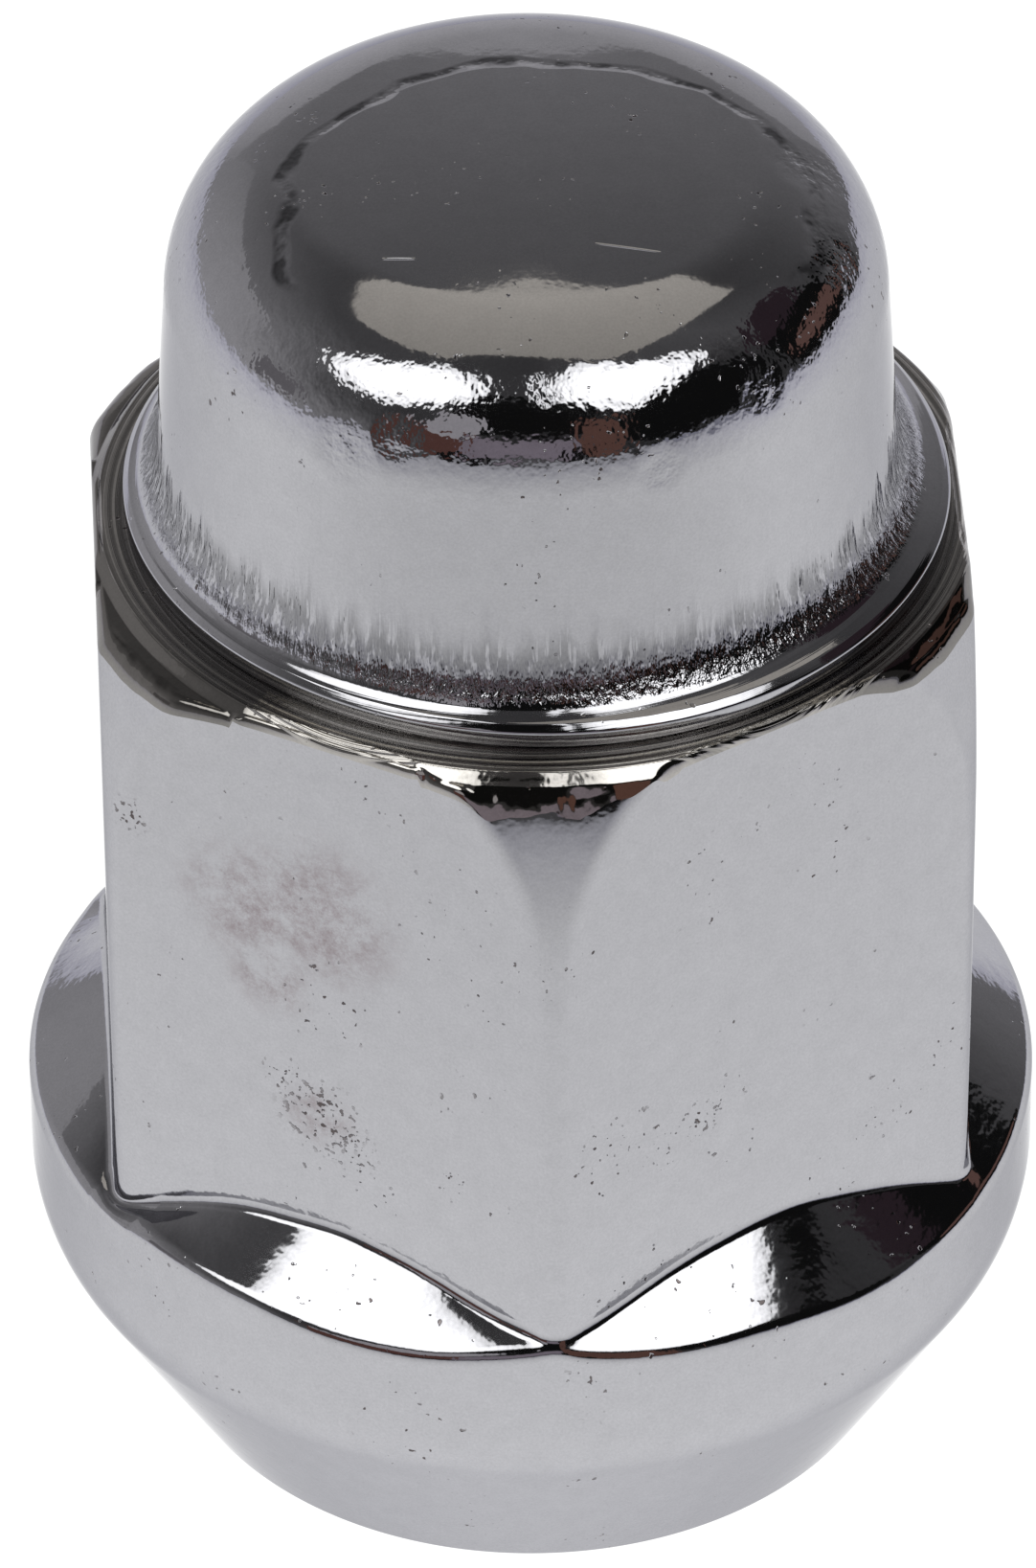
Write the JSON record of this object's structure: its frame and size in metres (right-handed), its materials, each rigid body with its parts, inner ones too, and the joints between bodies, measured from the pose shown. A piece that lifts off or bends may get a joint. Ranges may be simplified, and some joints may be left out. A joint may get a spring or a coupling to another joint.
{
  "type": "lug nut",
  "caption": "Closed-end wheel nut with a six-sided wrench body, a flared collar with a conical seat below it, and a drawn dome cap over the bore.",
  "frame": {"origin": "on the thread axis, at the open end face that the nut stands on", "axes": "+Z along the thread axis, from the open end to the dome; +Y and -Y point at two opposite corners of the hexagon, +X at the middle of a flat"},
  "size_m": [0.0246, 0.0246, 0.0356],
  "materials": {
    "chrome_body": "bright chrome plate on forged steel, slightly wavy, with fine pits",
    "chrome_cap": "bright chrome plate on drawn sheet steel, with fine draw lines at the foot"
  },
  "bodies": {
    "root": {"nut_body": "chrome_body", "dome_cap": "chrome_cap"}
  },
  "joints": []
}
